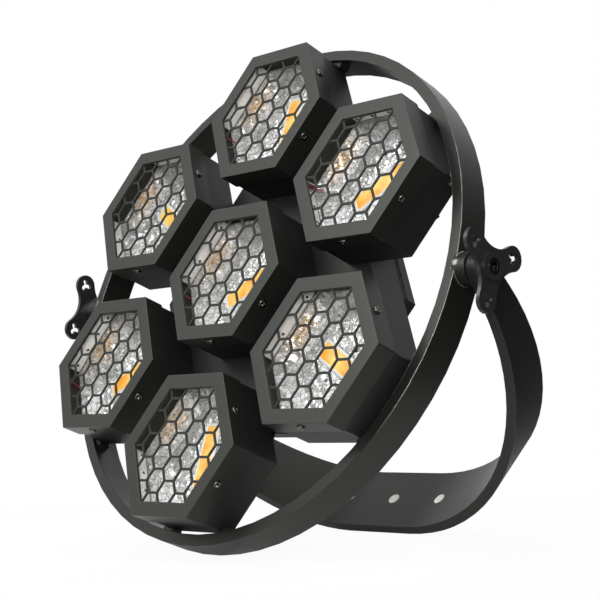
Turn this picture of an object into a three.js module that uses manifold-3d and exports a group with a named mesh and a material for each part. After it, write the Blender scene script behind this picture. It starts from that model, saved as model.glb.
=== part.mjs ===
// A stage light of seven hexagonal lamps inside a steel hoop, tilting in a flared yoke held by two knobs.
// Millimetres, +Z up. The head is drawn facing -Y about the middle lamp, then leaned back on its hoop.

import * as THREE from "three";
import { mergeVertices } from "three/addons/utils/BufferGeometryUtils.js";
import Module from "manifold-3d";

const wasm = await Module();
wasm.setup();

// Fits and facets
const SEAT_GAP = 0.3; // between pieces that touch
const OVERRUN = 2; // how far a cut runs past the faces it opens
const WELD_DEPTH = 2; // how far a welded piece reaches into the one that carries it
const HOOP_FACETS = 64;
const ROUND_FACETS = 24;
const SMALL_FACETS = 12;
const ARC_STEPS = 8;
const KNOB_STEPS = 5;

// Lamp cases: a folded cap over a can, both six-sided
const LAMP_ACROSS = 150;
const LAMP_GAP = 39; // between neighbouring lamps
const LAMP_DEPTH = 63;
const CASE_SHEET = 1.5;
const CAP_FLANGE = 24;
const BEZEL_WIDTH = 15.25;
const CAN_BACK_SHEET = 2;
const CABLE_HOLE_R = 8;

// Honeycomb grille behind the cap's opening
const GRILLE_SHEET = 1.5;
const CELL_SPACING = 25;
const STRUT_WIDTH = 2.4;
const LEAST_CELL_WIDTH = 4;

// Light engine: folded reflector, LED board and heat sink
const REFLECTOR_RIM_DEPTH = 26;
const REFLECTOR_FLOOR_DEPTH = 42;
const REFLECTOR_SLOPE_RUN = 21.9;
const REFLECTOR_SHEET = 1;
const LED_END_ROOM = 13.5; // from each end of the bar to the reflector floor's edge
const LED_WIDTH = 22.5;
const LED_BOARD = 1.6;
const LED_SLOT_MARGIN = 1.5;
const PHOSPHOR_MARGIN = 3;
const PHOSPHOR_RISE = 0.5;
const LED_AXIS_TURN = Math.PI / 6;
const SINK_SIDE_ROOM = 0.5; // inside the reflector floor's edge
const SINK_END_ROOM = 7.5;
const SINK_BASE = 5;
const SINK_FINS = 6;
const SINK_FIN = 3;

// Hoop round the outer lamps, with a saddle at each lamp corner and a boss at each pivot
const HOOP_CLEARANCE = 1.5; // from the outermost lamp corners
const HOOP_WALL = 12;
const HOOP_FRONT_DEPTH = 44.6;
const HOOP_WIDTH = 36;
const SADDLE_WIDTH = 14;
const SADDLE_DEPTH = 14;
const SADDLE_GRIP = 3;
const BOSS_R = 16.5;
const PIVOT_SETBACK = 15.1; // behind the hoop's front edge

// Rear frame: six-sided plate, arms and tubes that carry the lamps, and a lip that locates the cover
const CASE_ACROSS = 281;
const FRAME_DEPTH = 110;
const FRAME_SHEET = 2;
const FRAME_ARM_WIDTH = 30;
const FRAME_ARM_REACH = 15;
const TUBE_R = 13;
const TUBE_WALL = 4;
const LIP_HEIGHT = 8;
const COVER_SEAM = 2;

// Rear cover: a six-sided pan with sloping, vented sides
const COVER_SHEET = 1.5;
const COVER_RIM = 12.5;
const COVER_SLOPE = 42;
const COVER_BACK_ACROSS = 180;
const VENT_LENGTH = 70;
const VENT_WIDTH = 4;
const VENT_SPACING = 10;
const VENT_ROWS = 3;

// Driver electronics on the frame and the controls in the cover's flat back
const SUPPLY_WIDTH = 130;
const SUPPLY_HEIGHT = 70;
const SUPPLY_DEPTH = 34;
const SUPPLY_LIFT = 14;
const BOARD_WIDTH = 96;
const BOARD_HEIGHT = 56;
const BOARD_SHEET = 1.6;
const CONTROL_LIFT = 34;
const BUTTON_LIFT = 8;
const DISPLAY_WIDTH = 56;
const DISPLAY_HEIGHT = 24;
const DISPLAY_PROUD = 1;
const DISPLAY_FLANGE = 3;
const BUTTON_COUNT = 4;
const BUTTON_SPACING = 15;
const BUTTON_R = 4;
const BUTTON_COLLAR = 1.5;
const BUTTON_COLLAR_SHEET = 1;
const BUTTON_ROOM = 1.3; // free depth behind each collar
const BUTTON_PROUD = 2;
const SOCKET_DROP = 38;
const SOCKET_SPACING = 44;
const SOCKET_R = 12;
const SOCKET_BORE_R = 9.5;
const SOCKET_LENGTH = 22;
const SOCKET_FLOOR = 4;
const SOCKET_FLANGE_WIDTH = 26;
const SOCKET_FLANGE_HEIGHT = 31;
const SOCKET_FLANGE_SHEET = 2;

// Yoke: one flat bar bent to a near half circle, widening from the pivots to the base
const YOKE_SIDE_CLEARANCE = 11.5; // from the hoop to each arm
const YOKE_BASE_CLEARANCE = 22.5; // from the swinging hoop to the base
const YOKE_BAR = 11;
const YOKE_STRAIGHT = 33.5;
const YOKE_FLAT_HALF = 45.7;
const YOKE_BEND_POWER = 1.85; // 2 would be an ellipse
const YOKE_BEND_STEPS = 20;
const YOKE_PIVOT_HALF = 14.3;
const YOKE_BASE_HALF = 43.2;
const YOKE_SWING = (60.7 * Math.PI) / 180;
const MOUNT_HOLE_R = 6.5;
const MOUNT_HOLE_SPACING = 69.6;

// Pivot bolts and three-lobed knobs
const BOLT_R = 5;
const BOLT_HEAD_R = 8;
const BOLT_HEAD = 7;
const BOLT_FIT = 0.3;
const BOLT_SOCKET_ACROSS = 8;
const BOLT_SOCKET_DEPTH = 4;
const HOOP_SKIN = 2;
const KNOB_STANDOFF = 4.8; // from the yoke to the lobed plate
const KNOB_PLATE = 4.2;
const KNOB_HUB_R = 14;
const KNOB_HUB = 11.5;
const LOBE_CENTRE_R = 32.5;
const LOBE_R = 12.5;
const WAIST_R = 18;
const LOBE_SLOT_REACH = 4.5;
const LOBE_SLOT_END_R = 2.9;
const LOBE_SLOT_HALF = 2.2;
const SLOT_END_STEPS = 4;
const RIGHT_KNOB_TURN = (35 * Math.PI) / 180;
const LEFT_KNOB_TURN = (58 * Math.PI) / 180;

// The seven lamps: place round the middle one, and the turn of the light engine inside
const SIXTH = Math.PI / 3;
const LAMPS = [
  { name: "centre", place: null, engineTurn: 0 },
  { name: "top", place: Math.PI / 2, engineTurn: -2 * SIXTH },
  { name: "upper_right", place: Math.PI / 6, engineTurn: 3 * SIXTH },
  { name: "lower_right", place: -Math.PI / 6, engineTurn: 2 * SIXTH },
  { name: "bottom", place: -Math.PI / 2, engineTurn: SIXTH },
  { name: "lower_left", place: (-5 * Math.PI) / 6, engineTurn: 0 },
  { name: "upper_left", place: (5 * Math.PI) / 6, engineTurn: -SIXTH },
];

// Depths and sizes that follow from the ones above
const LAMP_SPACING = LAMP_ACROSS + LAMP_GAP;
const OPENING_ACROSS = LAMP_ACROSS - 2 * BEZEL_WIDTH;
const CAN_ACROSS = LAMP_ACROSS - 2 * (CASE_SHEET + SEAT_GAP);
const CAN_INNER_ACROSS = CAN_ACROSS - 2 * CASE_SHEET;
const GRILLE_DEPTH = CASE_SHEET + SEAT_GAP;
const CAN_FRONT_DEPTH = GRILLE_DEPTH + GRILLE_SHEET + SEAT_GAP;
const REFLECTOR_FLOOR_ACROSS = CAN_INNER_ACROSS - 2 * (SEAT_GAP + REFLECTOR_SLOPE_RUN);
const LED_LENGTH = REFLECTOR_FLOOR_ACROSS - 2 * LED_END_ROOM;
const SINK_WIDTH = REFLECTOR_FLOOR_ACROSS - 2 * SINK_SIDE_ROOM;
const SINK_HEIGHT = REFLECTOR_FLOOR_ACROSS - 2 * SINK_END_ROOM;
const REFLECTOR_BACK_DEPTH = REFLECTOR_FLOOR_DEPTH + REFLECTOR_SHEET;
const SINK_DEPTH = REFLECTOR_BACK_DEPTH + SEAT_GAP;
const SINK_BACK_DEPTH = LAMP_DEPTH - CAN_BACK_SHEET - SEAT_GAP;
const LAMP_REACH = Math.hypot(LAMP_SPACING + LAMP_ACROSS / 2, (LAMP_ACROSS / 2) * Math.tan(SIXTH / 2));
const HOOP_INNER_R = LAMP_REACH + HOOP_CLEARANCE;
const HOOP_OUTER_R = HOOP_INNER_R + HOOP_WALL;
const PIVOT_DEPTH = HOOP_FRONT_DEPTH + PIVOT_SETBACK;
const HOOP_BACK_DEPTH = HOOP_FRONT_DEPTH + HOOP_WIDTH;
const FRAME_BACK_DEPTH = FRAME_DEPTH + FRAME_SHEET;
const COVER_FRONT_DEPTH = FRAME_BACK_DEPTH + COVER_SEAM;
const COVER_BEND_DEPTH = COVER_FRONT_DEPTH + COVER_RIM;
const COVER_BACK_DEPTH = COVER_BEND_DEPTH + COVER_SLOPE;
const COVER_INNER_DEPTH = COVER_BACK_DEPTH - COVER_SHEET;
const COLLAR_FAR_DEPTH = COVER_INNER_DEPTH - SEAT_GAP;
const COLLAR_NEAR_DEPTH = COLLAR_FAR_DEPTH - BUTTON_COLLAR_SHEET;
const BOARD_BACK_DEPTH = COLLAR_NEAR_DEPTH - BUTTON_ROOM;
const YOKE_INNER_HALF = HOOP_OUTER_R + YOKE_SIDE_CLEARANCE;
const YOKE_DROP = HOOP_OUTER_R + YOKE_BASE_CLEARANCE;
const YOKE_OUTER_HALF = YOKE_INNER_HALF + YOKE_BAR;
const KNOB_SEAT = YOKE_OUTER_HALF + SEAT_GAP;

// Directions of the flat shapes: seen from the front, and seen along +X
const AXIS_X = new THREE.Vector3(1, 0, 0);
const AXIS_Y = new THREE.Vector3(0, 1, 0);
const AXIS_Z = new THREE.Vector3(0, 0, 1);
const FROM_FRONT = new THREE.Matrix4().makeBasis(AXIS_X, AXIS_Z, AXIS_Y.clone().negate());
const FROM_SIDE = new THREE.Matrix4().makeBasis(AXIS_Y, AXIS_Z, AXIS_X);

// A closed geometry as a solid that can be cut and joined
function solid(geometry) {
  const bare = geometry.index ? geometry.toNonIndexed() : geometry.clone();
  bare.deleteAttribute("normal");
  bare.deleteAttribute("uv");
  const merged = mergeVertices(bare);
  const corners = merged.index.array;
  const kept = [];
  for (let i = 0; i < corners.length; i += 3) {
    const [a, b, c] = corners.subarray(i, i + 3);
    if (a !== b && b !== c && c !== a) kept.push(a, b, c);
  }
  const mesh = new wasm.Mesh({
    numProp: 3,
    vertProperties: merged.attributes.position.array,
    triVerts: new Uint32Array(kept),
  });
  return new wasm.Manifold(mesh);
}

// A finished solid as a flat-shaded geometry
function geometryOf(body) {
  const { vertProperties, triVerts } = body.getMesh();
  const geometry = new THREE.BufferGeometry();
  geometry.setAttribute("position", new THREE.BufferAttribute(vertProperties, 3));
  geometry.setIndex(new THREE.BufferAttribute(triVerts, 1));
  const flat = geometry.toNonIndexed();
  flat.computeVertexNormals();
  return flat;
}

// A flat shape drawn as seen from the front, filled from one depth to another
function frontSolid(shape, nearDepth, farDepth, steps = ARC_STEPS) {
  const geometry = new THREE.ExtrudeGeometry(shape, {
    depth: farDepth - nearDepth,
    bevelEnabled: false,
    curveSegments: steps,
  });
  geometry.translate(0, 0, -farDepth);
  return solid(geometry.applyMatrix4(FROM_FRONT));
}

// A flat shape in the YZ plane, filled from one X to another
function sideSolid(shape, fromX, toX, steps = ARC_STEPS) {
  const geometry = new THREE.ExtrudeGeometry(shape, {
    depth: toX - fromX,
    bevelEnabled: false,
    curveSegments: steps,
  });
  geometry.translate(0, 0, fromX);
  return solid(geometry.applyMatrix4(FROM_SIDE));
}

// A profile of [radius, depth] points turned round the head's depth axis
function turned(profile, facets, startTurn) {
  const points = profile.map(([radius, depth]) => new THREE.Vector2(radius, depth));
  return solid(new THREE.LatheGeometry(points, facets, startTurn));
}

// The same for six flats, with each size given across the flats
function sixSided(profile) {
  const corners = profile.map(([across, depth]) => [cornerRadius(across), depth]);
  return turned(corners, 6, Math.PI / 6);
}

function cornerRadius(across) {
  return across / 2 / Math.cos(Math.PI / 6);
}

// A cylinder along X, Y or Z between two places on that axis
function rod(axis, radius, from, to, facets = SMALL_FACETS) {
  const geometry = new THREE.CylinderGeometry(radius, radius, to - from, facets);
  geometry.translate(0, (from + to) / 2, 0);
  if (axis === AXIS_X) geometry.rotateZ(-Math.PI / 2);
  if (axis === AXIS_Z) geometry.rotateX(Math.PI / 2);
  return solid(geometry);
}

// A box by its width, depth range and height, centred on X and Z
function block(width, nearDepth, farDepth, height) {
  const geometry = new THREE.BoxGeometry(width, farDepth - nearDepth, height);
  geometry.translate(0, (nearDepth + farDepth) / 2, 0);
  return solid(geometry);
}

function hexagonShape(across) {
  const shape = new THREE.Shape();
  for (let i = 0; i < 6; i += 1) {
    const angle = i * SIXTH;
    const x = cornerRadius(across) * Math.cos(angle);
    const y = cornerRadius(across) * Math.sin(angle);
    if (i === 0) shape.moveTo(x, y);
    else shape.lineTo(x, y);
  }
  shape.closePath();
  return shape;
}

// Turns a solid round the head's depth axis, anticlockwise as seen from the front
function turnedBy(body, angle) {
  return body.rotate([0, (-angle * 180) / Math.PI, 0]);
}

// Front cap: a folded tray with a six-sided opening
function capBody() {
  const inner = LAMP_ACROSS - 2 * CASE_SHEET;
  return sixSided([
    [OPENING_ACROSS, 0],
    [LAMP_ACROSS, 0],
    [LAMP_ACROSS, CAP_FLANGE],
    [inner, CAP_FLANGE],
    [inner, CASE_SHEET],
    [OPENING_ACROSS, CASE_SHEET],
    [OPENING_ACROSS, 0],
  ]);
}

// Grille: a six-sided sheet with flat-topped cells, cut off where the cap's opening ends
function grilleBody() {
  const sheet = frontSolid(hexagonShape(CAN_ACROSS), GRILLE_DEPTH, GRILLE_DEPTH + GRILLE_SHEET);
  const near = GRILLE_DEPTH - OVERRUN;
  const far = GRILLE_DEPTH + GRILLE_SHEET + OVERRUN;
  const opening = frontSolid(hexagonShape(OPENING_ACROSS), near, far);
  const cell = frontSolid(hexagonShape(CELL_SPACING - STRUT_WIDTH), near, far);
  const columnStep = CELL_SPACING * Math.cos(Math.PI / 6);
  const columns = Math.ceil(cornerRadius(OPENING_ACROSS) / columnStep);
  const rows = Math.ceil(OPENING_ACROSS / 2 / CELL_SPACING) + 1;
  const leastVolume = LEAST_CELL_WIDTH * LEAST_CELL_WIDTH * (far - near);
  let grille = sheet;
  for (let column = -columns; column <= columns; column += 1) {
    for (let row = -rows; row <= rows; row += 1) {
      const lift = (row + (column % 2 === 0 ? 0 : 1 / 2)) * CELL_SPACING;
      const hole = cell.translate([column * columnStep, 0, lift]).intersect(opening);
      if (hole.volume() > leastVolume) grille = grille.subtract(hole);
    }
  }
  return grille;
}

// Can: the case behind the cap, whose front edge holds the grille against it
function canBody() {
  const can = sixSided([
    [CAN_INNER_ACROSS, CAN_FRONT_DEPTH],
    [CAN_ACROSS, CAN_FRONT_DEPTH],
    [CAN_ACROSS, LAMP_DEPTH],
    [0, LAMP_DEPTH],
    [0, LAMP_DEPTH - CAN_BACK_SHEET],
    [CAN_INNER_ACROSS, LAMP_DEPTH - CAN_BACK_SHEET],
    [CAN_INNER_ACROSS, CAN_FRONT_DEPTH],
  ]);
  return can.subtract(rod(AXIS_Y, CABLE_HOLE_R, SINK_BACK_DEPTH, LAMP_DEPTH + OVERRUN));
}

// Reflector: a six-sided dish with a slot along the LED
function reflectorBody() {
  const rim = CAN_INNER_ACROSS - 2 * SEAT_GAP;
  const rimInner = rim - 2 * REFLECTOR_SHEET;
  const floorOuter = REFLECTOR_FLOOR_ACROSS + 2 * REFLECTOR_SHEET;
  const dish = sixSided([
    [0, REFLECTOR_FLOOR_DEPTH],
    [REFLECTOR_FLOOR_ACROSS, REFLECTOR_FLOOR_DEPTH],
    [rimInner, REFLECTOR_RIM_DEPTH],
    [rim, REFLECTOR_RIM_DEPTH],
    [floorOuter, REFLECTOR_BACK_DEPTH],
    [0, REFLECTOR_BACK_DEPTH],
  ]);
  const slot = block(
    LED_LENGTH + 2 * LED_SLOT_MARGIN,
    REFLECTOR_RIM_DEPTH,
    REFLECTOR_BACK_DEPTH + OVERRUN,
    LED_WIDTH + 2 * LED_SLOT_MARGIN,
  );
  return dish.subtract(turnedBy(slot, LED_AXIS_TURN));
}

// LED: a long white board with its phosphor strip raised on the front
function ledBody() {
  const back = SINK_DEPTH - SEAT_GAP;
  const front = back - LED_BOARD;
  const board = block(LED_LENGTH, front, back, LED_WIDTH);
  const length = LED_LENGTH - 2 * PHOSPHOR_MARGIN;
  const width = LED_WIDTH - 2 * PHOSPHOR_MARGIN;
  const phosphor = block(length, front - PHOSPHOR_RISE, front + LED_BOARD / 2, width);
  return turnedBy(board.add(phosphor), LED_AXIS_TURN);
}

// Heat sink: a base plate with a comb of fins that reach the can's back
function sinkBody() {
  const pitch = (SINK_WIDTH - SINK_FIN) / (SINK_FINS - 1);
  const left = -SINK_WIDTH / 2;
  const shape = new THREE.Shape();
  shape.moveTo(left, SINK_DEPTH);
  shape.lineTo(left, SINK_BACK_DEPTH);
  for (let fin = 0; fin < SINK_FINS; fin += 1) {
    const start = left + fin * pitch;
    if (fin > 0) {
      shape.lineTo(start, SINK_DEPTH + SINK_BASE);
      shape.lineTo(start, SINK_BACK_DEPTH);
    }
    shape.lineTo(start + SINK_FIN, SINK_BACK_DEPTH);
    if (fin < SINK_FINS - 1) shape.lineTo(start + SINK_FIN, SINK_DEPTH + SINK_BASE);
  }
  shape.lineTo(-left, SINK_DEPTH);
  shape.closePath();
  const geometry = new THREE.ExtrudeGeometry(shape, { depth: SINK_HEIGHT, bevelEnabled: false });
  geometry.translate(0, 0, -SINK_HEIGHT / 2);
  return solid(geometry);
}

function lampCentre(place) {
  if (place === null) return new THREE.Vector3();
  return new THREE.Vector3(LAMP_SPACING * Math.cos(place), 0, LAMP_SPACING * Math.sin(place));
}

// Hoop: a flat ring with saddles for the lamp corners and a bored boss on each side
function hoopBody() {
  const step = Math.PI / HOOP_FACETS;
  let hoop = turned(
    [
      [HOOP_INNER_R, HOOP_FRONT_DEPTH],
      [HOOP_OUTER_R, HOOP_FRONT_DEPTH],
      [HOOP_OUTER_R, HOOP_BACK_DEPTH],
      [HOOP_INNER_R, HOOP_BACK_DEPTH],
      [HOOP_INNER_R, HOOP_FRONT_DEPTH],
    ],
    HOOP_FACETS,
    step,
  );
  const saddleNear = LAMP_DEPTH - SADDLE_DEPTH;
  const room = hexagonShape(CAN_ACROSS + 2 * SEAT_GAP);
  const canRoom = frontSolid(room, HOOP_FRONT_DEPTH - OVERRUN, HOOP_BACK_DEPTH + OVERRUN);
  for (const { place } of LAMPS) {
    if (place === null) continue;
    const centre = lampCentre(place);
    for (const side of [-1, 1]) {
      const corner = cornerRadius(CAN_ACROSS);
      const cornerTurn = place + (side * SIXTH) / 2;
      const cornerX = centre.x + corner * Math.cos(cornerTurn);
      const cornerZ = centre.z + corner * Math.sin(cornerTurn);
      const reach = Math.hypot(cornerX, cornerZ);
      const inner = reach - SADDLE_GRIP;
      const outer = HOOP_INNER_R + WELD_DEPTH;
      const pad = block(outer - inner, saddleNear, LAMP_DEPTH, SADDLE_WIDTH);
      const placed = turnedBy(pad.translate([(inner + outer) / 2, 0, 0]), Math.atan2(cornerZ, cornerX));
      hoop = hoop.add(placed.subtract(canRoom.translate([centre.x, 0, centre.z])));
    }
  }
  for (const side of [-1, 1]) {
    const bossEnd = YOKE_INNER_HALF - SEAT_GAP;
    const boss = rod(AXIS_X, BOSS_R, HOOP_OUTER_R - 2 * WELD_DEPTH, bossEnd, ROUND_FACETS);
    const bore = rod(AXIS_X, BOLT_R + BOLT_FIT, HOOP_INNER_R + HOOP_SKIN, bossEnd + OVERRUN, ROUND_FACETS);
    const turn = side > 0 ? 0 : 180;
    hoop = hoop.add(boss.rotate([0, 0, turn]).translate([0, PIVOT_DEPTH, 0]));
    hoop = hoop.subtract(bore.rotate([0, 0, turn]).translate([0, PIVOT_DEPTH, 0]));
  }
  return hoop;
}

// Rear frame: plate, arms behind the outer lamps, tubes to the cans and the cover's lip
function frameBody() {
  let frame = frontSolid(hexagonShape(CASE_ACROSS), FRAME_DEPTH, FRAME_BACK_DEPTH);
  const lipAcross = CASE_ACROSS - 2 * (COVER_SHEET + SEAT_GAP);
  const lipInner = lipAcross - 2 * FRAME_SHEET;
  frame = frame.add(
    sixSided([
      [lipInner, FRAME_DEPTH + FRAME_SHEET / 2],
      [lipAcross, FRAME_DEPTH + FRAME_SHEET / 2],
      [lipAcross, FRAME_BACK_DEPTH + LIP_HEIGHT],
      [lipInner, FRAME_BACK_DEPTH + LIP_HEIGHT],
      [lipInner, FRAME_DEPTH + FRAME_SHEET / 2],
    ]),
  );
  const armReach = LAMP_SPACING + FRAME_ARM_REACH;
  for (const { place } of LAMPS) {
    const centre = lampCentre(place);
    if (place !== null) {
      const arm = block(armReach, FRAME_DEPTH, FRAME_BACK_DEPTH, FRAME_ARM_WIDTH);
      frame = frame.add(turnedBy(arm.translate([armReach / 2, 0, 0]), place));
    }
    const tube = rod(AXIS_Y, TUBE_R, LAMP_DEPTH + SEAT_GAP, FRAME_DEPTH + FRAME_SHEET / 2);
    frame = frame.add(tube.translate([centre.x, 0, centre.z]));
  }
  for (const { place } of LAMPS) {
    const centre = lampCentre(place);
    const bore = rod(AXIS_Y, TUBE_R - TUBE_WALL, LAMP_DEPTH, FRAME_BACK_DEPTH + OVERRUN);
    frame = frame.subtract(bore.translate([centre.x, 0, centre.z]));
  }
  return frame;
}

// Places of the buttons and sockets on the cover's back, by their X
function buttonPlaces() {
  const first = (-(BUTTON_COUNT - 1) * BUTTON_SPACING) / 2;
  return Array.from({ length: BUTTON_COUNT }, (_, i) => first + i * BUTTON_SPACING);
}

// Rear cover: rim, sloping vented sides and the flat back with holes for the controls
function coverBody() {
  const inner = CASE_ACROSS - 2 * COVER_SHEET;
  const backInner = COVER_BACK_ACROSS - 2 * COVER_SHEET;
  let cover = sixSided([
    [inner, COVER_FRONT_DEPTH],
    [CASE_ACROSS, COVER_FRONT_DEPTH],
    [CASE_ACROSS, COVER_BEND_DEPTH],
    [COVER_BACK_ACROSS, COVER_BACK_DEPTH],
    [0, COVER_BACK_DEPTH],
    [0, COVER_INNER_DEPTH],
    [backInner, COVER_INNER_DEPTH],
    [inner, COVER_BEND_DEPTH],
    [inner, COVER_FRONT_DEPTH],
  ]);
  const near = COVER_INNER_DEPTH - OVERRUN;
  const far = COVER_BACK_DEPTH + OVERRUN;
  const window = block(DISPLAY_WIDTH + 2 * SEAT_GAP, near, far, DISPLAY_HEIGHT + 2 * SEAT_GAP);
  cover = cover.subtract(window.translate([0, 0, CONTROL_LIFT]));
  for (const x of buttonPlaces()) {
    cover = cover.subtract(rod(AXIS_Y, BUTTON_R + SEAT_GAP, near, far).translate([x, 0, BUTTON_LIFT]));
  }
  for (const step of [-1, 0, 1]) {
    const hole = rod(AXIS_Y, SOCKET_R + SEAT_GAP, near, far, ROUND_FACETS);
    cover = cover.subtract(hole.translate([step * SOCKET_SPACING, 0, -SOCKET_DROP]));
  }
  const slopeMiddle = (CASE_ACROSS + COVER_BACK_ACROSS) / 4;
  for (let face = 0; face < 6; face += 1) {
    for (let row = 0; row < VENT_ROWS; row += 1) {
      const offset = (row - (VENT_ROWS - 1) / 2) * VENT_SPACING;
      const slot = block(VENT_WIDTH, COVER_BEND_DEPTH - COVER_SHEET, COVER_INNER_DEPTH, VENT_LENGTH);
      cover = cover.subtract(turnedBy(slot.translate([slopeMiddle + offset, 0, 0]), (face + 1 / 2) * SIXTH));
    }
  }
  return cover;
}

// Power supply: a closed block screwed to the frame plate
function supplyBody() {
  const near = FRAME_BACK_DEPTH + SEAT_GAP;
  return block(SUPPLY_WIDTH, near, near + SUPPLY_DEPTH, SUPPLY_HEIGHT);
}

// Display: a window block with a flange behind the cover's back
function displayBody() {
  const flangeNear = BOARD_BACK_DEPTH + SEAT_GAP;
  const screen = block(DISPLAY_WIDTH, flangeNear, COVER_BACK_DEPTH + DISPLAY_PROUD, DISPLAY_HEIGHT);
  const width = DISPLAY_WIDTH + 2 * DISPLAY_FLANGE;
  return screen.add(block(width, flangeNear, COLLAR_FAR_DEPTH, DISPLAY_HEIGHT + 2 * DISPLAY_FLANGE));
}

// Button: a round cap with a collar that stops behind the cover's back
function buttonBody() {
  const cap = rod(AXIS_Y, BUTTON_R, COLLAR_NEAR_DEPTH, COVER_BACK_DEPTH + BUTTON_PROUD);
  return cap.add(rod(AXIS_Y, BUTTON_R + BUTTON_COLLAR, COLLAR_NEAR_DEPTH, COLLAR_FAR_DEPTH));
}

// Control board: behind the display and the buttons
function boardBody() {
  return block(BOARD_WIDTH, BOARD_BACK_DEPTH - BOARD_SHEET, BOARD_BACK_DEPTH, BOARD_HEIGHT);
}

// Socket: a flanged cup set in the cover's back
function socketBody() {
  const flangeNear = COVER_BACK_DEPTH + SEAT_GAP;
  const flangeFar = flangeNear + SOCKET_FLANGE_SHEET;
  const cupNear = flangeFar - SOCKET_LENGTH;
  const floorFar = cupNear + SOCKET_FLOOR;
  const flange = block(SOCKET_FLANGE_WIDTH, flangeNear, flangeFar, SOCKET_FLANGE_HEIGHT);
  const socket = flange.add(rod(AXIS_Y, SOCKET_R, cupNear, flangeFar, ROUND_FACETS));
  return socket.subtract(rod(AXIS_Y, SOCKET_BORE_R, floorFar, flangeFar + OVERRUN, ROUND_FACETS));
}

// One side of the yoke bar's bend, from the arm down to the flat base, offset outwards
function yokeBend(offset) {
  const across = YOKE_INNER_HALF - YOKE_FLAT_HALF;
  const down = YOKE_DROP - YOKE_STRAIGHT;
  const points = [];
  for (let i = 0; i <= YOKE_BEND_STEPS; i += 1) {
    const turn = (i * Math.PI) / (2 * YOKE_BEND_STEPS);
    const side = i === YOKE_BEND_STEPS ? 0 : Math.cos(turn);
    const fall = Math.sin(turn);
    const place = 2 / YOKE_BEND_POWER;
    const normal = new THREE.Vector2(side ** (2 - place) / across, -(fall ** (2 - place)) / down).setLength(offset);
    points.push(
      new THREE.Vector2(YOKE_FLAT_HALF + across * side ** place, -YOKE_STRAIGHT - down * fall ** place).add(normal),
    );
  }
  return points;
}

// Yoke outline seen from the front: arms, bends and the flat base, pivots at height zero
function yokeOutline() {
  const top = YOKE_PIVOT_HALF + OVERRUN;
  const inner = [new THREE.Vector2(YOKE_INNER_HALF, top), ...yokeBend(0)];
  const outer = [new THREE.Vector2(YOKE_OUTER_HALF, top), ...yokeBend(YOKE_BAR)];
  const mirror = (points) => points.map(({ x, y }) => new THREE.Vector2(-x, y));
  return new THREE.Shape([...inner, ...mirror(inner).reverse(), ...mirror(outer), ...outer.reverse()]);
}

// Yoke flare seen from the side: round at the pivots, straight-sided down to the base
function yokeFlare() {
  const bottom = -YOKE_DROP - YOKE_BAR - OVERRUN;
  const shape = new THREE.Shape();
  shape.moveTo(-YOKE_BASE_HALF, bottom);
  shape.lineTo(YOKE_BASE_HALF, bottom);
  shape.lineTo(YOKE_BASE_HALF, -YOKE_DROP);
  shape.lineTo(YOKE_PIVOT_HALF, 0);
  shape.absarc(0, 0, YOKE_PIVOT_HALF, 0, Math.PI, false);
  shape.lineTo(-YOKE_BASE_HALF, -YOKE_DROP);
  shape.closePath();
  return shape;
}

// Yoke: the bent bar cut to its flare, with pivot holes and three mounting holes
function yokeBody() {
  const bar = frontSolid(yokeOutline(), -YOKE_BASE_HALF - OVERRUN, YOKE_BASE_HALF + OVERRUN);
  const flare = sideSolid(yokeFlare(), -YOKE_OUTER_HALF - OVERRUN, YOKE_OUTER_HALF + OVERRUN);
  let yoke = bar.intersect(flare);
  const half = YOKE_OUTER_HALF + OVERRUN;
  yoke = yoke.subtract(rod(AXIS_X, BOLT_R + BOLT_FIT, -half, half, ROUND_FACETS));
  const bottom = -YOKE_DROP - YOKE_BAR - OVERRUN;
  for (const step of [-1, 0, 1]) {
    const hole = rod(AXIS_Z, MOUNT_HOLE_R, bottom, bottom + 3 * YOKE_BAR, ROUND_FACETS);
    yoke = yoke.subtract(hole.translate([step * MOUNT_HOLE_SPACING, 0, 0]));
  }
  return yoke;
}

// Knob outline: three round lobes joined by hollow flanks that touch each lobe and the waist circle
function knobOutline() {
  const sideTerm = WAIST_R * WAIST_R - WAIST_R * LOBE_CENTRE_R;
  const lobeTerm = LOBE_CENTRE_R * LOBE_CENTRE_R - LOBE_R * LOBE_R;
  const flankR = (sideTerm + lobeTerm) / (2 * LOBE_R + LOBE_CENTRE_R - 2 * WAIST_R);
  const flankCentre = WAIST_R + flankR;
  const shape = new THREE.Shape();
  for (let i = 0; i < 3; i += 1) {
    const lobeTurn = 2 * i * SIXTH;
    const lobe = new THREE.Vector2(LOBE_CENTRE_R, 0).rotateAround(new THREE.Vector2(), lobeTurn);
    const flank = new THREE.Vector2(flankCentre, 0).rotateAround(new THREE.Vector2(), lobeTurn + SIXTH);
    const across = flank.clone().sub(lobe).angle();
    const spread = across - lobeTurn;
    shape.absarc(lobe.x, lobe.y, LOBE_R, lobeTurn - spread, lobeTurn + spread, false);
    const flankTurn = lobeTurn + SIXTH;
    const half = flankTurn - across;
    shape.absarc(flank.x, flank.y, flankR, Math.PI + flankTurn - half, Math.PI + flankTurn + half, true);
    shape.holes.push(starHole(lobe, lobeTurn));
  }
  shape.closePath();
  return shape;
}

// A three-armed star hole with round ends about one lobe's centre
function starHole(centre, turn) {
  const points = [];
  const add = (x, y, along) => points.push(new THREE.Vector2(x, y).rotateAround(new THREE.Vector2(), along).add(centre));
  for (let arm = 0; arm < 3; arm += 1) {
    const along = turn + 2 * arm * SIXTH;
    for (let i = 0; i <= SLOT_END_STEPS; i += 1) {
      const angle = (i / SLOT_END_STEPS - 1 / 2) * Math.PI;
      add(LOBE_SLOT_REACH + LOBE_SLOT_END_R * Math.cos(angle), LOBE_SLOT_END_R * Math.sin(angle), along);
    }
    add(LOBE_SLOT_HALF / Math.sin(SIXTH), 0, along + SIXTH);
  }
  return new THREE.Path(points);
}

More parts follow.
